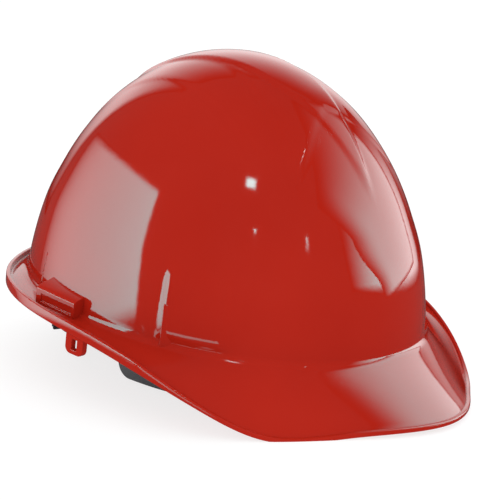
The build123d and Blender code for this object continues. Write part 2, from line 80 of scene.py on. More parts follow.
def node(tree, kind, **inputs):
    made = tree.nodes.new(kind)
    for key, value in inputs.items():
        if key.startswith("set_"):
            setattr(made, key[4:], value)
            continue
        name = int(key[1:]) if key[1:].isdigit() else key.replace("_", " ")
        socket = made.inputs[name]
        if isinstance(value, bpy.types.NodeSocket):
            tree.links.new(value, socket)
        else:
            socket.default_value = value
    return made


def noise(tree, coords, scale, detail=3.0, roughness=0.5):
    made = node(tree, "ShaderNodeTexNoise", Vector=coords, Scale=scale, Detail=detail, Roughness=roughness)
    return made.outputs["Fac"]


def ramp(tree, value, low, high, out_low, out_high):
    made = node(tree, "ShaderNodeMapRange", Value=value)
    for key, number in zip(("From Min", "From Max", "To Min", "To Max"), (low, high, out_low, out_high)):
        made.inputs[key].default_value = number
    return made.outputs["Result"]


def blend_colour(tree, factor, low, high):
    made = node(tree, "ShaderNodeMix", set_data_type="RGBA")
    colours = [s for s in made.inputs if s.type == "RGBA"]
    tree.links.new(factor, made.inputs[0])
    for socket, value in zip(colours, (low, high)):
        if isinstance(value, bpy.types.NodeSocket):
            tree.links.new(value, socket)
        else:
            socket.default_value = (*value, 1)
    return next(s for s in made.outputs if s.type == "RGBA")


def maths(tree, operation, a, b=0.0, c=0.0):
    made = node(tree, "ShaderNodeMath", set_operation=operation, _0=a, _1=b, _2=c)
    return made.outputs[0]


def bump(tree, height, distance, strength, below=None):
    made = node(tree, "ShaderNodeBump", Height=height, Distance=distance, Strength=strength)
    if below is not None:
        tree.links.new(below, made.inputs["Normal"])
    return made.outputs["Normal"]


def set_shader(shader, **values):
    for key, value in values.items():
        shader.inputs[key.replace("_", " ")].default_value = value


def object_coords(tree):
    return tree.nodes.new("ShaderNodeTexCoord").outputs["Object"]


def gloss_plastic(name, deep, bright):
    """Injection-moulded gloss: faint flow mottling, orange peel, wiping haze and hairline scratches."""
    material, tree, shader = new_material(name)
    coords = object_coords(tree)
    mottle = noise(tree, coords, 9.0, 4.0)
    colour = blend_colour(tree, ramp(tree, mottle, 0.35, 0.68, 0, 1), deep, bright)
    tree.links.new(colour, shader.inputs["Base Color"])
    haze = ramp(tree, noise(tree, coords, 28.0, 6.0, 0.62), 0.35, 0.75, 0.035, 0.085)
    stretched = node(tree, "ShaderNodeMapping", Vector=coords, Scale=(900, 40, 60), Rotation=(0.3, 0.5, 0.8))
    scratch = ramp(tree, noise(tree, stretched.outputs[0], 1.0, 2.0), 0.72, 0.80, 0, 0.10)
    tree.links.new(maths(tree, "ADD", haze, scratch), shader.inputs["Roughness"])
    peel = bump(tree, noise(tree, coords, 190.0, 2.0), 0.00006, 0.30)
    tree.links.new(bump(tree, mottle, 0.0012, 0.10, peel), shader.inputs["Normal"])
    set_shader(shader, IOR=1.5, Specular_IOR_Level=0.5, Specular_Tint=(0.05, 1.0, 1.0, 1.0))
    return material


def moulded(name, deep, bright, rough=(0.38, 0.62), grain=2600.0, depth=0.00007, **extra):
    """Matt moulded plastic: spark-eroded grain, colour drift and rubbed patches."""
    material, tree, shader = new_material(name)
    coords = object_coords(tree)
    drift = noise(tree, coords, 45.0, 5.0, 0.6)
    colour = blend_colour(tree, ramp(tree, drift, 0.3, 0.7, 0, 1), deep, bright)
    tree.links.new(colour, shader.inputs["Base Color"])
    tree.links.new(ramp(tree, drift, 0.3, 0.7, rough[0], rough[1]), shader.inputs["Roughness"])
    spark = noise(tree, coords, grain, 3.0, 0.7)
    tree.links.new(bump(tree, spark, depth, 0.6), shader.inputs["Normal"])
    set_shader(shader, **extra)
    return material


def woven(name, deep, bright, pitch, depth, sheen, ribs):
    """Plain weave on the piece's own flat coordinates, in metres, with yarns that vary and painted shade in
    the weave's low points.
    """
    material, tree, shader = new_material(name)
    coords = tree.nodes.new("ShaderNodeTexCoord")
    parts = node(tree, "ShaderNodeSeparateXYZ", Vector=coords.outputs["UV"])
    turns = 2 * pi / pitch
    wobble = noise(tree, coords.outputs["UV"], 160.0, 2.0)
    u = maths(tree, "MULTIPLY", parts.outputs[0], turns)
    v = maths(tree, "MULTIPLY", parts.outputs[1], turns)
    u = maths(tree, "ADD", u, wobble)
    weave = maths(tree, "MULTIPLY", maths(tree, "SINE", u), maths(tree, "SINE", v))
    height = ramp(tree, weave, -1, 1, 0, 1)
    rib = maths(tree, "SINE", maths(tree, "MULTIPLY", parts.outputs[1], 2 * pi / ribs))
    height = maths(tree, "MULTIPLY_ADD", ramp(tree, rib, -1, 1, 0, 1), 0.8, height)
    yarn = noise(tree, coords.outputs["UV"], 420.0, 5.0, 0.7)
    # Painted shade: the colour is darker where the weave and its ribs lie low, mixed with the yarns' own
    # random tone.
    tone = maths(tree, "MULTIPLY_ADD", yarn, 0.7, maths(tree, "MULTIPLY", height, 0.3))
    colour = blend_colour(tree, ramp(tree, tone, 0.2, 0.9, 0, 1), deep, bright)
    tree.links.new(colour, shader.inputs["Base Color"])
    tree.links.new(ramp(tree, yarn, 0.3, 0.7, 0.72, 0.95), shader.inputs["Roughness"])
    fuzz = bump(tree, yarn, 0.0001, 0.4)
    tree.links.new(bump(tree, height, depth, 0.9, fuzz), shader.inputs["Normal"])
    set_shader(shader, Sheen_Weight=sheen, Sheen_Roughness=0.45)
    return material


def knitted(name, deep, bright, cell, depth, holes=0.0, sheen=0.4):
    """Knitted cloth that needs no flat coordinates: small cells, fuzz and, if asked, punched holes, with
    shade painted into the grooves between cells and into the holes.
    """
    material, tree, shader = new_material(name)
    coords = object_coords(tree)
    cells = node(tree, "ShaderNodeTexVoronoi", Vector=coords, Scale=1 / cell, Randomness=0.35)
    height = ramp(tree, cells.outputs["Distance"], 0.0, 0.7, 1, 0)
    yarn = noise(tree, coords, 900.0, 4.0, 0.7)
    # Painted shade: the colour darkens towards each cell's edge, where the surface lies low, mixed with the
    # yarn's own random tone.
    tone = maths(tree, "MULTIPLY_ADD", yarn, 0.6, maths(tree, "MULTIPLY", height, 0.4))
    colour = blend_colour(tree, ramp(tree, tone, 0.25, 0.85, 0, 1), deep, bright)
    if holes:
        punched = node(tree, "ShaderNodeTexVoronoi", Vector=coords, Scale=1 / holes, Randomness=0.0)
        open_here = ramp(tree, punched.outputs["Distance"], 0.20, 0.26, 0, 1)
        # Painted shade: the holes are coloured near black, standing in for the shade inside them.
        colour = blend_colour(tree, open_here, (0.004, 0.004, 0.004), colour)
        height = maths(tree, "MULTIPLY_ADD", open_here, 2.0, height)
    tree.links.new(colour, shader.inputs["Base Color"])
    tree.links.new(ramp(tree, yarn, 0.3, 0.7, 0.75, 0.97), shader.inputs["Roughness"])
    tree.links.new(bump(tree, height, depth, 0.9, bump(tree, yarn, 0.00008, 0.4)), shader.inputs["Normal"])
    set_shader(shader, Sheen_Weight=sheen, Sheen_Roughness=0.5)
    return material


def brushed_steel(name):
    material, tree, shader = new_material(name)
    coords = object_coords(tree)
    turned = node(tree, "ShaderNodeTexWave", Vector=coords, Scale=900.0, Distortion=6.0, Detail=3.0)
    turned.wave_type = "RINGS"
    stain = noise(tree, coords, 260.0, 5.0, 0.6)
    colour = blend_colour(tree, stain, (0.42, 0.42, 0.43), (0.72, 0.72, 0.74))
    tree.links.new(colour, shader.inputs["Base Color"])
    tree.links.new(ramp(tree, stain, 0.3, 0.7, 0.22, 0.42), shader.inputs["Roughness"])
    tree.links.new(bump(tree, turned.outputs["Fac"], 0.00002, 0.5), shader.inputs["Normal"])
    set_shader(shader, Metallic=1.0)
    return material


RED = gloss_plastic("red_gloss", (0.425, 0.0150, 0.0065), (0.470, 0.0185, 0.0085))
FITTING = moulded("fitting_black", (0.012, 0.012, 0.013), (0.024, 0.024, 0.026), (0.34, 0.52))
BAND = moulded("band_black", (0.010, 0.010, 0.013), (0.022, 0.022, 0.027), (0.36, 0.56), 1900.0)
RATCHET = moulded("ratchet_black", (0.012, 0.012, 0.014), (0.026, 0.026, 0.028), (0.42, 0.66), 2200.0, 0.0001)
KNOB = moulded("knob_black", (0.010, 0.010, 0.011), (0.020, 0.020, 0.022), (0.50, 0.72), 1700.0, 0.00014)
ACETAL = moulded("acetal_white", (0.52, 0.51, 0.46), (0.66, 0.65, 0.60), (0.28, 0.42), 1500.0, 0.00003)
STEEL = brushed_steel("zinc_steel")
WEBBING = woven("webbing_black", (0.008, 0.008, 0.009), (0.045, 0.045, 0.048), 0.0011, 0.00022, 0.3, 0.0022)
BROW_CLOTH = knitted("brow_cloth", (0.010, 0.010, 0.012), (0.050, 0.050, 0.055), 0.0009, 0.00018, 0.0042)
NAPE_CLOTH = knitted("nape_cloth", (0.012, 0.012, 0.014), (0.060, 0.060, 0.066), 0.0012, 0.00022)
THREAD = knitted("thread_grey", (0.05, 0.05, 0.055), (0.14, 0.14, 0.15), 0.0004, 0.00006, 0.0, 0.2)


# ---------------------------------------------------------------- mesh helpers
def new_mesh(name, vertices, faces, material, body, smooth=True):
    """Mesh in millimetres, turned outwards, that rides on a body."""
    mesh = bpy.data.meshes.new(name)
    mesh.from_pydata([tuple(c * MM for c in v) for v in vertices], [], faces)
    work = bmesh.new()
    work.from_mesh(mesh)
    bmesh.ops.recalc_face_normals(work, faces=work.faces)
    work.to_mesh(mesh)
    work.free()
    mesh.polygons.foreach_set("use_smooth", [smooth] * len(mesh.polygons))
    mesh.materials.append(material)
    made = bpy.data.objects.new(name, mesh)
    bpy.context.scene.collection.objects.link(made)
    if body:
        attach(made, body)
    return made


def apply_modifiers(piece):
    """Fix the modifiers' result in the mesh."""
    bpy.context.view_layer.update()
    depsgraph = bpy.context.evaluated_depsgraph_get()
    mesh = bpy.data.meshes.new_from_object(piece.evaluated_get(depsgraph), depsgraph=depsgraph)
    piece.modifiers.clear()
    piece.data = mesh
    return piece


def bevelled(piece, width, segments=3, angle=30):
    """Round every sharp edge and shade the result evenly."""
    rounding = piece.modifiers.new("round", "BEVEL")
    rounding.width = width * MM
    rounding.segments = segments
    rounding.limit_method = "ANGLE"
    rounding.angle_limit = radians(angle)
    rounding.harden_normals = True
    piece.data.polygons.foreach_set("use_smooth", [True] * len(piece.data.polygons))
    return apply_modifiers(piece)


def prism_mesh(name, outline, place, low, high, material, body):
    """Extruded outline; place turns (x, y, depth) into the helmet's millimetres."""
    count = len(outline)
    vertices = [place(x, y, low) for x, y in outline] + [place(x, y, high) for x, y in outline]
    faces = [tuple(range(count)), tuple(range(2 * count - 1, count - 1, -1))]
    for i in range(count):
        j = (i + 1) % count
        faces.append((i, j, count + j, count + i))
    return new_mesh(name, vertices, faces, material, body, False)


def cut(piece, *cutters):
    for cutter in cutters:
        work = piece.modifiers.new("cut", "BOOLEAN")
        work.operation = "DIFFERENCE"
        work.solver = "EXACT"
        work.object = cutter
        apply_modifiers(piece)
        bpy.data.objects.remove(cutter)
    return piece


def box_cutter(place, x, y, z):
    outline = [(x[0], y[0]), (x[1], y[0]), (x[1], y[1]), (x[0], y[1])]
    return prism_mesh("cutter", outline, place, z[0], z[1], RED, None)


def smooth_step(value, low, high):
    t = np.clip((value - low) / (high - low), 0.0, 1.0)
    return t * t * (3 - 2 * t)


# ---------------------------------------------------------------- shell surface
def clamped_spline(column):
    """Curve through the rim stations that is level at the front and at the back."""
    xs = np.array([row[0] for row in RIM_STATIONS], float)
    ys = np.array([row[column] for row in RIM_STATIONS], float)
    gaps = np.diff(xs)
    count = len(xs)
    matrix = np.eye(count)
    right = np.zeros(count)
    for i in range(1, count - 1):
        before, after = gaps[i - 1], gaps[i]
        matrix[i, i - 1:i + 2] = [after, 2 * (before + after), before]
        right[i] = 3 * (after * (ys[i] - ys[i - 1]) / before + before * (ys[i + 1] - ys[i]) / after)
    slopes = np.linalg.solve(matrix, right)

    def value(bearing):
        angle = abs(bearing) % 360
        angle = min(angle, 360 - angle)
        i = int(min(max(np.searchsorted(xs, angle) - 1, 0), count - 2))
        u = (angle - xs[i]) / gaps[i]
        start = (2 * u ** 3 - 3 * u ** 2 + 1) * ys[i] + (u ** 3 - 2 * u ** 2 + u) * gaps[i] * slopes[i]
        end = (3 * u ** 2 - 2 * u ** 3) * ys[i + 1] + (u ** 3 - u ** 2) * gaps[i] * slopes[i + 1]
        return float(start + end)

    return value


rim_radius = clamped_spline(1)
rim_height = clamped_spline(2)


def dome_radius(bearing, height, inset=0.0):
    angle = radians(bearing)
    full = CROWN_HEIGHT - inset + EQUATOR_DROP
    at_junction = sin(acos(((JUNCTION + EQUATOR_DROP) / full) ** (DOME_POWER / 2)))
    here = sin(acos(min(1.0, ((height + EQUATOR_DROP) / full) ** (DOME_POWER / 2))))
    return here / at_junction / hypot(sin(angle) / (HALF_WIDTH - inset), cos(angle) / (HALF_LENGTH - inset))


def dome_height(fraction, inset=0.0, lowest=JUNCTION):
    full = CROWN_HEIGHT - inset + EQUATOR_DROP
    turn = acos(((lowest + EQUATOR_DROP) / full) ** (DOME_POWER / 2))
    return full * cos(turn * fraction) ** (2 / DOME_POWER) - EQUATOR_DROP


def relief(x, y):
    """Height of the moulded ribs and panels above the plain dome, in millimetres."""
    side = abs(x)
    half = np.interp(y, [-92, -60, -33, 40, 70], [0.5, 8, 15, 17, 12])
    keel = smooth_step(half - side, -1.6, 1.6) * smooth_step(y, -94, -80) * (1 - smooth_step(y, 60, 84))
    panel_half = np.interp(y, [-72, -50, -20, 3, 30, 60], [39, 32, 24, 18, 17, 15])
    tail = -57 - (side - 9) * 0.55
    panel = smooth_step(panel_half - side, -2.2, 2.2) * smooth_step(y - tail, -2.0, 2.0)
    panel *= 1 - smooth_step(y, 55, 80)
    flank_half = np.interp(y, [-60, -43, 0, 27, 59], [50, 47, 40, 36, 34])
    flank = smooth_step(flank_half - side, -1.8, 1.8)
    flank *= smooth_step(y, -62, -40) * (1 - smooth_step(y, 60, 85))
    return 0.9 * keel + 0.5 * panel + 0.5 * flank


def pocket(bearing, z):
    """Swelling over each front suspension socket."""
    side = abs(bearing) if abs(bearing) <= 180 else 360 - abs(bearing)
    across = smooth_step(side, 45.5, 49.5) * (1 - smooth_step(side, 66.6, 69.2))
    return 1.1 * across * (1 - smooth_step(z, 40, 50))


def round_corner(start, corner, end, steps):
    """Points of a quadratic curve from start to end that turns at the corner."""
    run = []
    for i in range(steps + 1):
        t = i / steps
        shares = ((1 - t) ** 2, 2 * t * (1 - t), t * t)
        run.append(tuple(sum(w * v for w, v in zip(shares, abc)) for abc in zip(start, corner, end)))
    return run


def towards(a, b, distance):
    size = hypot(b[0] - a[0], b[1] - a[1])
    share = min(distance / size, 0.49)
    return (a[0] + (b[0] - a[0]) * share, a[1] + (b[1] - a[1]) * share)


def rounded_path(corners, radii, steps):
    """Open path through corners, each rounded by its own setback."""
    path = [corners[0]]
    for before, here, after, radius in zip(corners, corners[1:], corners[2:], radii):
        path += round_corner(towards(here, before, radius), here, towards(here, after, radius), steps)
    return path + [corners[-1]]


def subdivided(path, parts):
    """The same path with each run split into equal parts."""
    out = [path[0]]
    for a, b in zip(path, path[1:]):
        out += [tuple(p + (q - p) * i / parts for p, q in zip(a, b)) for i in range(1, parts + 1)]
    return out


DOME_RINGS, INNER_RINGS, BEARINGS = 92, 40, 300
BRIM_FILLET = 3.2
RELIEF_SINK = 2.4


def shell_profile(bearing):
    """(radius, height) pairs from the crown, over the brim and lip, and back up inside."""
    outer = []
    stop = JUNCTION + BRIM_FILLET
    for i in range(DOME_RINGS):
        fraction = ((i + 1) / DOME_RINGS) ** 0.9
        height = dome_height(fraction, 0.0, stop)
        outer.append((dome_radius(bearing, height), height))
    at = dome_radius(bearing, JUNCTION)
    radius, edge = rim_radius(bearing), rim_height(bearing)
    side = min(abs(bearing), 360 - abs(bearing))
    lip = 0.4 + LIP_HEIGHT / (1 + exp((LIP_ENDS_AT - side) / 4))
    room = radius - LIP_THICKNESS - at
    fillet = (at, JUNCTION)
    brim_inner = (radius - LIP_THICKNESS, edge)
    fillet_end = towards(fillet, brim_inner, min(BRIM_FILLET, room * 0.45))
    out = round_corner(outer[-1], fillet, fillet_end, 8)[1:]
    lowest = edge - BRIM_THICKNESS
    inner_floor = JUNCTION - WALL - 1.0
    inner_foot = (dome_radius(bearing, inner_floor, WALL), inner_floor)
    corners = [
        out[-1],
        brim_inner,
        (radius - LIP_THICKNESS + 0.2, edge + lip),
        (radius, edge + lip - 0.3),
        (radius, lowest),
        inner_foot,
        (dome_radius(bearing, inner_floor + 6, WALL), inner_floor + 6),
    ]
    soft = min(1.0, lip * 0.45)
    path = rounded_path(corners, [soft * 1.2, min(0.75, lip * 0.4), 0.75, 0.8, 2.5], 4)
    brim_runs = subdivided(path[:2], 14)
    under = path[1:]
    # The long run is the brim's underside: the first one past the lip's corners that exceeds 4 mm.
    gaps = [hypot(a[0] - b[0], a[1] - b[1]) for a, b in zip(under, under[1:])]
    long_run = next(i for i, gap in enumerate(gaps) if i > 17 and gap > 4)
    split = subdivided(under[long_run:long_run + 2], 12)[1:]
    under = under[:long_run + 1] + split + under[long_run + 2:]
    profile = outer + out[:-1] + brim_runs + under[1:]
    top = inner_floor + 6
    for i in range(1, INNER_RINGS):
        fraction = 1 - i / INNER_RINGS
        height = dome_height(fraction, WALL, top)
        profile.append((dome_radius(bearing, height, WALL), height))
    return profile


def make_shell():
    """Outside, brim, lip and inside as one closed mesh, with the crown's relief raised on it."""
    bearings = [360 * i / BEARINGS for i in range(BEARINGS)]
    profiles = [shell_profile(b if b <= 180 else b - 360) for b in bearings]
    rings = len(profiles[0])
    assert all(len(p) == rings for p in profiles)
    vertices = []
    for bearing, profile in zip(bearings, profiles):
        s, c = sin(radians(bearing)), -cos(radians(bearing))
        for index, (radius, height) in enumerate(profile):
            x, y, z = radius * s, radius * c, height
            if index < DOME_RINGS:
                rise = float(relief(x, y)) * float(smooth_step(z, 45, 70))
                rise += float(pocket(bearing, z)) * float(smooth_step(z, 8, 14))
                share = max(0.0, (z + EQUATOR_DROP) / (CROWN_HEIGHT + EQUATOR_DROP))
                steep = min(1.0, share ** 1.6)
                flat = (1 - steep ** 2) ** 0.5
                sink = RELIEF_SINK * smooth_step(z, 45, 70)
                x, y, z = x + rise * flat * s, y + rise * flat * c, z + rise * steep - sink
            vertices.append((x, y, float(z)))
    top = len(vertices)
    crown = float(relief(0, 0)) - RELIEF_SINK
    vertices += [(0, 0, CROWN_HEIGHT + crown), (0, 0, CROWN_HEIGHT - WALL)]
    faces = []
    for i in range(BEARINGS):
        j = (i + 1) % BEARINGS
        for k in range(rings - 1):
            faces.append((i * rings + k, j * rings + k, j * rings + k + 1, i * rings + k + 1))
        faces.append((top, j * rings, i * rings))
        faces.append((top + 1, i * rings + rings - 1, j * rings + rings - 1))
    shell = new_mesh("helmet_shell", vertices, faces, RED, "shell")
    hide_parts("shell")
    return shell


# ---------------------------------------------------------------- moulded features on the shell
def side_place(bearing, radius):
    """Turns (backwards, outwards, up) at a bearing and radius into the helmet's axes."""
    angle = radians(bearing)
    out = (sin(angle), -cos(angle))
    back = (cos(angle), sin(angle)) if bearing > 0 else (-cos(angle), -sin(angle))
    base = (radius * out[0], radius * out[1])

    def place(along, outwards, up):
        x, y = (b + along * k + outwards * o for b, k, o in zip(base, back, out))
        return (x, y, up)

    return place


def accessory_box(side, name):
    """Box in the rain channel with an upright slot below and a shallow groove in its face."""
    place = side_place(side * 94.0, 86.0)
    out, near, far = 16.0, 6.0, 36.0
    profile = [(0, 4.2), (out, 4.2), (out, 14.6), (out - 1.4, 15.8), (0, 20.0)]
    piece = prism_mesh(name, profile, lambda y, z, x: place(x, y, z), near, far, RED, "shell")
    slot = box_cutter(place, (near + 4, far - 4), (out - 5.4, out - 1.6), (-6, 12))
    groove = box_cutter(place, (near + 2, far - 4), (out - 0.8, out + 2), (8.2, 12.2))
    turns = np.linspace(0, 2 * pi, 97)[:-1]
    bore = [((HALF_WIDTH - 2) * cos(t), (HALF_LENGTH - 2) * sin(t)) for t in turns]
    inside = prism_mesh("cutter", bore, lambda x, y, z: (x, y, z), -40, 60, RED, None)
    cut(piece, inside, slot, groove)
    bevelled(piece, 0.55, 3)


def strap_eye(side, name):
    """Rounded tab with an oblong eye, under the brim edge."""
    bearing = 91.0
    place = side_place(side * bearing, rim_radius(bearing) - 2.3)
    base = rim_height(bearing) - BRIM_THICKNESS
    half, corner = 6.3, 3.6
    bottom = base - 9.8
    outline = [(-half, base + 1.5)]
    for turn, centre in ((180, corner - half), (270, half - corner)):
        for t in np.linspace(turn, turn + 90, 8):
            outline.append((centre + corner * cos(radians(t)), bottom + corner + corner * sin(radians(t))))
    outline += [(half, base + 1.5)]
    piece = prism_mesh(name, outline, lambda x, z, y: place(x, y, z), -1.7, 1.7, RED, "shell")
    cut(piece, box_cutter(place, (-1.9, 1.9), (-5, 5), (bottom + 2.4, bottom + 8.0)))
    bevelled(piece, 0.6, 3, 40)


def wall_distance(bearing, height):
    """Distance from the strap crossing to the inner wall, along a strap's bearing."""
    angle = radians(bearing)
    low, high = 40.0, 140.0
    for _ in range(40):
        middle = (low + high) / 2
        x, y = middle * sin(angle), STRAP_CROSSING_Y - middle * cos(angle)
        inside = hypot(x, y) < dome_radius(degrees(atan2(x, -y)), height, WALL)
        low, high = (middle, high) if inside else (low, middle)
    return low


def strap_place(bearing, side=1):
    """Turns (across, outwards, up) along a strap's direction from the crossing into the helmet's axes."""
    angle = radians(bearing)
    out = (sin(angle), -cos(angle))
    across = (cos(angle), sin(angle))

    def place(x, y, z):
        return (side * (x * across[0] + y * out[0]), STRAP_CROSSING_Y + x * across[1] + y * out[1], z)

    return place


def key_socket(bearing, side, name):
    """Block inside the wall with the pocket that takes a suspension key's blade."""
    wall = wall_distance(bearing, KEY_LEVEL)
    place = strap_place(bearing, side)
    heights = [SOCKET_TOP, (SOCKET_TOP + SOCKET_BOTTOM) / 2, SOCKET_BOTTOM]
    profile = [(wall - 7, SOCKET_BOTTOM), (wall - 7, SOCKET_TOP)]
    profile += [(wall_distance(bearing, height) + 0.9, height) for height in heights]
    ends = (-SOCKET_HALF_WIDTH, SOCKET_HALF_WIDTH)
    piece = prism_mesh(name, profile, lambda y, z, x: place(x, y, z), *ends, RED, "shell")
    cavity = box_cutter(place, (-9.15, 9.15), (wall - 4.75, wall - 2.15), (0, 26))
    cut(piece, cavity)
    bevelled(piece, 0.5, 2)


# ---------------------------------------------------------------- webbing
def strap_line(top):
    """Outer line of a strap in its upright plane: distance from the crossing and height."""
    reaches = [wall_distance(bearing, KEY_LEVEL) - KEY_DEPTH for bearing in STRAP_BEARINGS]
    rise = (top - STRAP_STRAIGHT) / (STRAP_CROWN - STRAP_STRAIGHT)
    flank = [(1.0, STRAP_STRAIGHT), (0.93, 50.0), (0.77, 74.0), (0.48, 96.0)]
    lifted = [(share, STRAP_STRAIGHT + (height - STRAP_STRAIGHT) * rise) for share, height in flank]
    front = [(reaches[0] * share, height) for share, height in lifted]
    rear = [(-reaches[1] * share, height) for share, height in reversed(lifted)]
    points = [(reaches[0], STRAP_FOOT)] + front + [(0, top)] + rear + [(-reaches[1], STRAP_FOOT)]
    curve = bpy.data.curves.new("line", "CURVE")
    curve.dimensions = "3D"
    spline = curve.splines.new("BEZIER")
    spline.bezier_points.add(len(points) - 1)
    for point, (x, z) in zip(spline.bezier_points, points):
        point.co = (x, 0, z)
        point.handle_left_type = point.handle_right_type = "AUTO"
    spline.resolution_u = 14
    holder = bpy.data.objects.new("line", curve)
    mesh = bpy.data.meshes.new_from_object(holder)
    line = [(v.co.x, v.co.z) for v in mesh.vertices]
    bpy.data.objects.remove(holder)
    return line


def crown_strap(name, node_name, side, top):
    """Woven strap: flat ribbon with round selvedges, lying inside the strap line."""
    line = strap_line(top)
    place = strap_place(STRAP_BEARINGS[0], side)
    half, thick = STRAP_WIDTH / 2, STRAP_THICKNESS
    section = []
    for u in np.linspace(-1, 1, 21):
        section.append((u * (half - 0.35), thick / 2 * (1 - 0.25 * abs(u) ** 8)))
    lower = [(x, -t) for x, t in reversed(section)]
    left = (section[-1][0] + 0.35, 0.0)
    right = (section[0][0] - 0.35, 0.0)
    ring = section + [left] + lower + [right]
    vertices, faces, flat = [], [], []
    travelled = 0.0
    count = len(ring)
    for i, (x, z) in enumerate(line):
        before, after = line[max(i - 1, 0)], line[min(i + 1, len(line) - 1)]
        along = Vector((after[0] - before[0], after[1] - before[1])).normalized()
        normal = (along.y, -along.x)
        if i:
            travelled += hypot(x - line[i - 1][0], z - line[i - 1][1])
        for a, t in ring:
            shift = t - thick / 2
            vertices.append(place(a, x + normal[0] * shift, z + normal[1] * shift))
            flat.append((travelled * MM, a * MM))
    rows = len(line)
    for i in range(rows - 1):
        for k in range(count):
            j = (k + 1) % count
            faces.append((i * count + k, i * count + j, (i + 1) * count + j, (i + 1) * count + k))
    faces.append(tuple(range(count)))
    faces.append(tuple(range((rows - 1) * count, rows * count)))
    piece = new_mesh(name, vertices, faces, WEBBING, "shell")
    layer = piece.data.uv_layers.new(name="flat")
    for loop in piece.data.loops:
        layer.data[loop.index].uv = flat[loop.vertex_index]
    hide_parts(node_name)
    return line, place


def stitches(name, runs, body, length=2.2, gap=1.1, radius=0.28):
    """Short sewn stitches along runs of (point, outward direction) in millimetres."""
    vertices, faces = [], []
    for run in runs:
        points = [Vector(p) for p, _ in run]
        normals = [Vector(n).normalized() for _, n in run]
        distance = [0.0]
        for a, b in zip(points, points[1:]):
            distance.append(distance[-1] + (b - a).length)

        def at(s):
            i = min(int(np.searchsorted(distance, s)), len(points) - 1)
            i = max(i, 1)
            t = (s - distance[i - 1]) / max(distance[i] - distance[i - 1], 1e-6)
            return points[i - 1].lerp(points[i], t), normals[i - 1].lerp(normals[i], t)

        s = gap / 2
        while s + length < distance[-1]:
            base = len(vertices)
            for share, size in ((0, 0.25), (0.2, 0.85), (0.5, 1.0), (0.8, 0.85), (1.0, 0.25)):
                centre, up = at(s + share * length)
                ahead, _ = at(min(s + share * length + 0.2, distance[-1]))
                behind, _ = at(max(s + share * length - 0.2, 0))
                along = (ahead - behind).normalized()
                sideways = along.cross(up).normalized()
                lift = centre + up * (radius * 0.3 * sin(pi * share))
                for k in range(6):
                    t = 2 * pi * k / 6
                    vertices.append(tuple(lift + (sideways * cos(t) + up * sin(t)) * radius * size))
            for r in range(4):
                for k in range(6):
                    j = (k + 1) % 6
                    ring = base + r * 6
                    faces.append((ring + k, ring + j, ring + 6 + j, ring + 6 + k))
            faces.append(tuple(base + k for k in range(6)))
            faces.append(tuple(base + 24 + k for k in range(6)))
            s += length + gap
    piece = new_mesh(name, vertices, faces, THREAD, body)
    return piece


def strap_stitches(name, line, place):
    """Two sewn rows across each end of a strap."""
    runs = []
    for end in (0, 1):
        points = line if end == 0 else list(reversed(line))
        reach = points[0][0]
        inner = -1 if reach > 0 else 1
        face = reach + inner * (STRAP_THICKNESS + 0.05)
        out = Vector(place(0, inner, 0)) - Vector(place(0, 0, 0))
        low, high, half = 15.2, 18.4, 7.5

        def spot(a, z):
            return (place(a, face, z), out)

        def run(a0, z0, a1, z1):
            return [spot(a0 + (a1 - a0) * i / 8, z0 + (z1 - z0) * i / 8) for i in range(9)]

        runs += [run(-half, low, half, low), run(-half, high, half, high)]
    stitches(name, runs, "shell")


# ---------------------------------------------------------------- pads
def band_point(angle, inset, z):
    """Point inside the headband's oval; angle runs from the front."""
    a, b = BAND_HALF_WIDTH - inset, BAND_HALF_LENGTH - inset
    t = radians(angle)
    return (a * sin(t), -b * cos(t), z)


def pad_mesh(name, columns, rows, surface, material):
    """Closed pad: two grids of points (front and back) sewn together round their edge."""
    def sheet(depth):
        us, vs = (np.linspace(0, 1, count).tolist() for count in (columns, rows))
        return [[surface(u, v, depth) for v in vs] for u in us]

    front, back = sheet(1.0), sheet(0.0)
    vertices, index = [], {}
    for side, grid in (("front", front), ("back", back)):
        for i in range(columns):
            for j in range(rows):
                border = i in (0, columns - 1) or j in (0, rows - 1)
                if side == "back" and border:
                    index[side, i, j] = index["front", i, j]
                    continue
                if border:
                    p = tuple((a + b) / 2 for a, b in zip(front[i][j], back[i][j]))
                else:
                    p = grid[i][j]
                index[side, i, j] = len(vertices)
                vertices.append(p)
    faces = []
    for side in ("front", "back"):
        for i in range(columns - 1):
            for j in range(rows - 1):
                corners = ((i, j), (i + 1, j), (i + 1, j + 1), (i, j + 1))
                faces.append(tuple(index[side, a, b] for a, b in corners))
    piece = new_mesh(name, vertices, faces, material, None)
    pins = [index["back", i, j] for i in range(columns) for j in range(rows)]
    return piece, sorted(set(pins))


def puff(piece, pins, pressure, cap):
    """Swell the free side of a pad with cloth, no point further than the cap."""
    rest = np.array([v.co for v in piece.data.vertices], float)
    group = piece.vertex_groups.new(name="held")
    group.add(pins, 1.0, "REPLACE")
    cloth = piece.modifiers.new("cloth", "CLOTH")
    cloth.settings.vertex_group_mass = "held"
    cloth.settings.use_pressure = True
    cloth.settings.uniform_pressure_force = pressure
    cloth.settings.quality = 6
    cloth.settings.tension_stiffness = 12
    cloth.settings.compression_stiffness = 12
    cloth.settings.bending_stiffness = 0.6
    cloth.settings.effector_weights.gravity = 0
    cloth.collision_settings.use_collision = False
    cloth.collision_settings.use_self_collision = False
    scene = bpy.context.scene
    for step in range(1, 21):
        scene.frame_set(step)
    depsgraph = bpy.context.evaluated_depsgraph_get()
    swollen = np.array([v.co for v in piece.evaluated_get(depsgraph).data.vertices], float)
    piece.modifiers.clear()
    scene.frame_set(1)
    move = swollen - rest
    size = np.linalg.norm(move, axis=1, keepdims=True)
    move *= np.minimum(1.0, cap * MM / np.maximum(size, 1e-9))
    piece.data.vertices.foreach_set("co", (rest + move).ravel())
    piece.vertex_groups.clear()
    smoother = piece.modifiers.new("smooth", "SUBSURF")
    smoother.levels = smoother.render_levels = 1
    return apply_modifiers(piece)


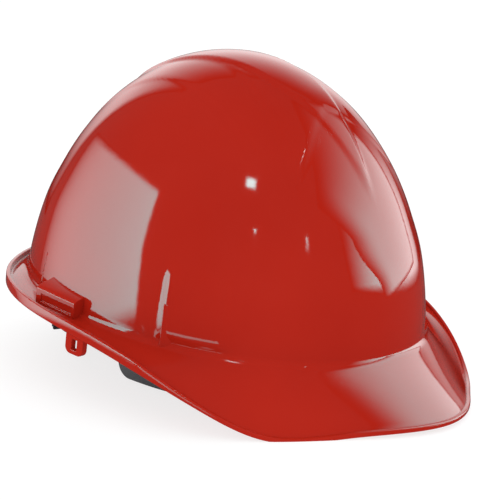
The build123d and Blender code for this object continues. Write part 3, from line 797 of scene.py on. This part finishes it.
def brow_pad():
    """Sweatband: cloth over foam, sewn through along two lines and gathered between them."""
    low, high, reach = -15.0, 11.0, 40.0

    def surface(u, v, front):
        angle = -reach + 2 * reach * u
        z = low + (high - low) * v
        thick = 0.0
        if front:
            crown = max(0.0, 1 - abs(2 * v - 1) ** 3.0)
            ends = min(1.0, min(u, 1 - u) * 16) ** 0.6
            seam = exp(-((v - 0.13) / 0.035) ** 2) + exp(-((v - 0.87) / 0.035) ** 2)
            near_seam = 0.25 + exp(-((abs(2 * v - 1) - 0.7) / 0.2) ** 2)
            gather = 0.16 * sin(u * 150 + 2.0 * sin(u * 37)) * near_seam
            thick = max(0.25, (3.0 * crown + gather) * ends - 1.1 * seam * ends)
        x, y, z = band_point(angle, BAND_INSET + thick, z)
        return (x, y, z)

    piece, pins = pad_mesh("brow_pad", 121, 33, surface, BROW_CLOTH)
    puff(piece, pins, 4.0, 0.7)
    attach(piece, "headband")
    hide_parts("brow_foam", "brow_cover")
    runs = []
    for z in (low + 0.13 * (high - low), low + 0.87 * (high - low)):
        run = []
        for i in range(81):
            angle = -reach + 1.5 + (2 * reach - 3) * i / 80
            p = Vector(band_point(angle, BAND_INSET + 2.3, z))
            run.append((tuple(p), tuple(Vector((-p.x, -p.y, 0)))))
        runs.append(run)
    stitches("brow_stitches", runs, "headband", 2.4, 1.0, 0.22)


ARC_CENTRE = Vector((0, 22, -5))
TILT = Matrix.Rotation(radians(-12), 4, "X")


def at_arc(x, y, z):
    return tuple(ARC_CENTRE + TILT @ Vector((x, y, z)))


def nape_pad():
    """Soft pad with a rolled rim, quilted by three upright channels."""
    def surface(u, v, front):
        x = -NAPE_HALF_WIDTH + 2 * NAPE_HALF_WIDTH * u
        top = 11.0
        shoulder = max(0.0, 1 - (abs(x) / NAPE_HALF_WIDTH) ** 2.4)
        bottom = -7 - 15 * shoulder ** 0.8
        corner = max(0.0, (abs(x) - 22) / 6)
        top -= 3.0 * corner ** 2.2
        z = bottom + (top - bottom) * v
        crown = (max(0.0, 1 - abs(2 * u - 1) ** 4) * max(0.0, 1 - abs(2 * v - 1) ** 4)) ** 0.5
        channel = sum(exp(-((x - c) / 1.5) ** 2) for c in (-14, 0, 14))
        radius = NAPE_RADIUS
        if front:
            radius -= 0.5 + 2.9 * crown - 1.3 * channel * crown
        angle = x / NAPE_RADIUS
        return at_arc(radius * sin(angle), radius * cos(angle), z)

    piece, pins = pad_mesh("nape_pad_soft", 65, 41, surface, NAPE_CLOTH)
    puff(piece, pins, 4.0, 0.6)
    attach(piece, "headband")
    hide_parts("nape_pad")


# ---------------------------------------------------------------- make the pieces
make_shell()
for side, word in ((1, "left"), (-1, "right")):
    accessory_box(side, f"slot_box_{word}")
    strap_eye(side, f"strap_eye_{word}")
    key_socket(STRAP_BEARINGS[0], side, f"socket_front_{word}")
    key_socket(STRAP_BEARINGS[1], side, f"socket_rear_{word}")
line, place = crown_strap("webbing_lower", "crown_strap_lower", 1, STRAP_CROWN)
strap_stitches("webbing_lower_stitches", line, place)
line, place = crown_strap("webbing_upper", "crown_strap_upper", -1, STRAP_CROWN + 2.5)
strap_stitches("webbing_upper_stitches", line, place)
brow_pad()
nape_pad()

LOOKS = {
    "suspension_key_front_left": FITTING,
    "suspension_key_front_right": FITTING,
    "suspension_key_rear_left": FITTING,
    "suspension_key_rear_right": FITTING,
    "hanger_studs": FITTING,
    "headband": BAND,
    "nape_arm_left": BAND,
    "nape_arm_right": BAND,
    "ratchet_housing": RATCHET,
    "ratchet_cover": RATCHET,
    "cover_screws": STEEL,
    "drive_pinion": ACETAL,
    "detent_spring": ACETAL,
    "adjust_knob": KNOB,
    "knob_screw": STEEL,
}
for name, material in LOOKS.items():
    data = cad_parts[name].data
    data.materials.clear()
    data.materials.append(material)


# ---------------------------------------------------------------- stage, light and camera
def direction(azimuth, elevation):
    a, e = radians(azimuth), radians(elevation)
    return Vector((sin(a) * cos(e), -cos(a) * cos(e), sin(e)))


def card(name, azimuth, elevation, distance, size, level, fade=(0, 0, 0, 0), turn=0.0, centre=(0, 0, 0.05),
         colour=(1, 1, 1, 1)):
    """Softbox that shows in the gloss alone.

    level is its radiance at the two ends, towards rising azimuth; fade is the soft share at those
    two ends, the bottom and the top.
    """
    width, height = size
    back = direction(azimuth, elevation)
    spot = Vector(centre) + back * distance
    across = Vector((0, 0, 1)).cross(back).normalized()
    up = back.cross(across)
    roll = Matrix.Rotation(radians(turn), 3, back)
    across, up = roll @ across, roll @ up
    wide, tall = across * (width / 2), up * (height / 2)
    corners = [spot - wide - tall, spot + wide - tall, spot + wide + tall, spot - wide + tall]
    mesh = bpy.data.meshes.new(name)
    mesh.from_pydata([tuple(c) for c in corners], [], [(0, 1, 2, 3)])
    layer = mesh.uv_layers.new(name="flat")
    for loop, uv in zip(mesh.loops, ((0, 0), (1, 0), (1, 1), (0, 1))):
        layer.data[loop.index].uv = uv
    material = bpy.data.materials.new(name)
    material.use_nodes = True
    tree = material.node_tree
    tree.nodes.clear()
    coords = tree.nodes.new("ShaderNodeTexCoord")
    parts = node(tree, "ShaderNodeSeparateXYZ", Vector=coords.outputs["UV"])
    power = ramp(tree, parts.outputs[0], 0, 1, level[0], level[1])
    for share, socket, low, high in (
        (fade[0], parts.outputs[0], 0.0, fade[0]),
        (fade[1], parts.outputs[0], 1.0, 1 - fade[1]),
        (fade[2], parts.outputs[1], 0.0, fade[2]),
        (fade[3], parts.outputs[1], 1.0, 1 - fade[3]),
    ):
        if not share:
            continue
        made = node(tree, "ShaderNodeMapRange", Value=socket, set_interpolation_type="SMOOTHSTEP")
        made.inputs["From Min"].default_value = low
        made.inputs["From Max"].default_value = high
        power = maths(tree, "MULTIPLY", power, made.outputs[0])
    glow = node(tree, "ShaderNodeEmission", Color=colour, Strength=power)
    out = tree.nodes.new("ShaderNodeOutputMaterial")
    tree.links.new(glow.outputs[0], out.inputs[0])
    mesh.materials.append(material)
    made = bpy.data.objects.new(name, mesh)
    bpy.context.scene.collection.objects.link(made)
    made.visible_camera = made.visible_diffuse = made.visible_shadow = False
    return made


BROW_FRONT = (0, -0.135, -0.01)
# The shell's gloss gives back little red, so the small lamps hold more of it to look white there.
LAMP_RED = (7.0, 1.0, 1.0, 1.0)
card("softbox_left", -148, 0, 1.3, (1.90, 1.12), (0.0, 8.1), (0.02, 0.03, 0.15, 0.06), 15.0)
card("softbox_right", 56.6, 18.2, 1.2, (2.37, 0.90), (14.0, 0.74), (0.44, 0.02, 0.10, 0.73), -13.9)
card("softbox_peak", 71.9, 53.0, 0.161, (0.19, 0.27), (6.8, 3.2), (0.35, 0.05, 0.05, 0.5), -1.2, BROW_FRONT)
card("backdrop_glow", 132, 22, 2.2, (3.2, 3.0), (1.7, 1.7), (0.3, 0.1, 0.4, 0.6))
card("band_left", -150, -16, 1.5, (1.55, 0.26), (3.0, 3.0), (0.1, 0.1, 0.3, 0.3))
card("band_middle", -92, -16, 1.5, (1.55, 0.26), (3.0, 3.0), (0.1, 0.1, 0.3, 0.3))
card("lamp_key", -61, 49, 1.5, (0.19, 0.16), (20.0, 20.0), (0.3, 0.3, 0.3, 0.3), colour=LAMP_RED)
card("lamp_strip", 30, 60, 1.5, (0.95, 0.035), (9.0, 14.0), (0.3, 0.2, 0.2, 0.2), colour=LAMP_RED)
card("lamp_small_left", -55, 30, 1.5, (0.035, 0.035), (14.0, 14.0), colour=LAMP_RED)
card("lamp_small_front", -19, 29, 1.5, (0.035, 0.035), (10.0, 10.0), colour=LAMP_RED)

world = bpy.data.worlds.new("studio")
bpy.context.scene.world = world
world.use_nodes = True
tree = world.node_tree
tree.nodes.clear()
path = tree.nodes.new("ShaderNodeLightPath")
bright = node(tree, "ShaderNodeBackground", Color=(1, 1, 1, 1), Strength=1.08)
dim = node(tree, "ShaderNodeBackground", Color=(1, 1, 1, 1), Strength=0.09)
mixed = node(tree, "ShaderNodeMixShader", _0=path.outputs["Is Glossy Ray"])
tree.links.new(bright.outputs[0], mixed.inputs[1])
tree.links.new(dim.outputs[0], mixed.inputs[2])
out = tree.nodes.new("ShaderNodeOutputWorld")
tree.links.new(mixed.outputs[0], out.inputs[0])

FLOOR_SLOPE = -0.0882
floor_mesh = bpy.data.meshes.new("floor")
FLOOR_REACH, FLOOR_HEIGHT, FLOOR_Y = 12.0, -0.0230, -0.107
square = ((-1, -1), (1, -1), (1, 1), (-1, 1))
spots = [(FLOOR_REACH * sx, FLOOR_REACH * sy) for sx, sy in square]
corners = [(x, y, FLOOR_HEIGHT + FLOOR_SLOPE * (y - FLOOR_Y)) for x, y in spots]
floor_mesh.from_pydata(corners, [], [(0, 1, 2, 3)])
floor_material, tree, shader = new_material("pale_floor")
coords = object_coords(tree)
tone = ramp(tree, noise(tree, coords, 3.0, 2.0), 0.3, 0.7, 0, 1)
colour = blend_colour(tree, tone, (0.25, 0.25, 0.25), (0.27, 0.27, 0.27))
tree.links.new(colour, shader.inputs["Base Color"])
set_shader(shader, Roughness=0.9, Specular_IOR_Level=0.1)
set_shader(shader, Emission_Color=(1, 1, 1, 1), Emission_Strength=0.77)
# From below the floor is clear, so that the suspension can be seen.
facing = tree.nodes.new("ShaderNodeNewGeometry")
clear = tree.nodes.new("ShaderNodeBsdfTransparent")
sides = node(tree, "ShaderNodeMixShader", _0=facing.outputs["Backfacing"])
tree.links.new(shader.outputs[0], sides.inputs[1])
tree.links.new(clear.outputs[0], sides.inputs[2])
surface_out = next(n for n in tree.nodes if n.type == "OUTPUT_MATERIAL")
tree.links.new(sides.outputs[0], surface_out.inputs[0])
floor_mesh.materials.append(floor_material)
floor = bpy.data.objects.new("floor", floor_mesh)
bpy.context.scene.collection.objects.link(floor)
floor.visible_glossy = False

FOCAL_MM = 160.3
camera_data = bpy.data.cameras.new("camera")
camera_data.lens = FOCAL_MM
camera_data.sensor_width = 36.0
camera_data.clip_start, camera_data.clip_end = 0.05, 60.0
camera = bpy.data.objects.new("camera", camera_data)
bpy.context.scene.collection.objects.link(camera)
bpy.context.scene.camera = camera
eye = Vector((0, 0, 0.0567)) + direction(-50.0, 15.9) * 1.187
aim = Vector((0.0024, -0.0127, 0.0344))
forward = (aim - eye).normalized()
right = forward.cross(Vector((0, 0, 1))).normalized()
up = right.cross(forward)
roll = radians(6.5)
right, up = right * cos(roll) + up * sin(roll), up * cos(roll) - right * sin(roll)
camera.matrix_world = Matrix((
    (right.x, up.x, -forward.x, eye.x),
    (right.y, up.y, -forward.y, eye.y),
    (right.z, up.z, -forward.z, eye.z),
    (0, 0, 0, 1),
))

view = bpy.context.scene.view_settings
view.view_transform = "Standard"
view.look = "None"
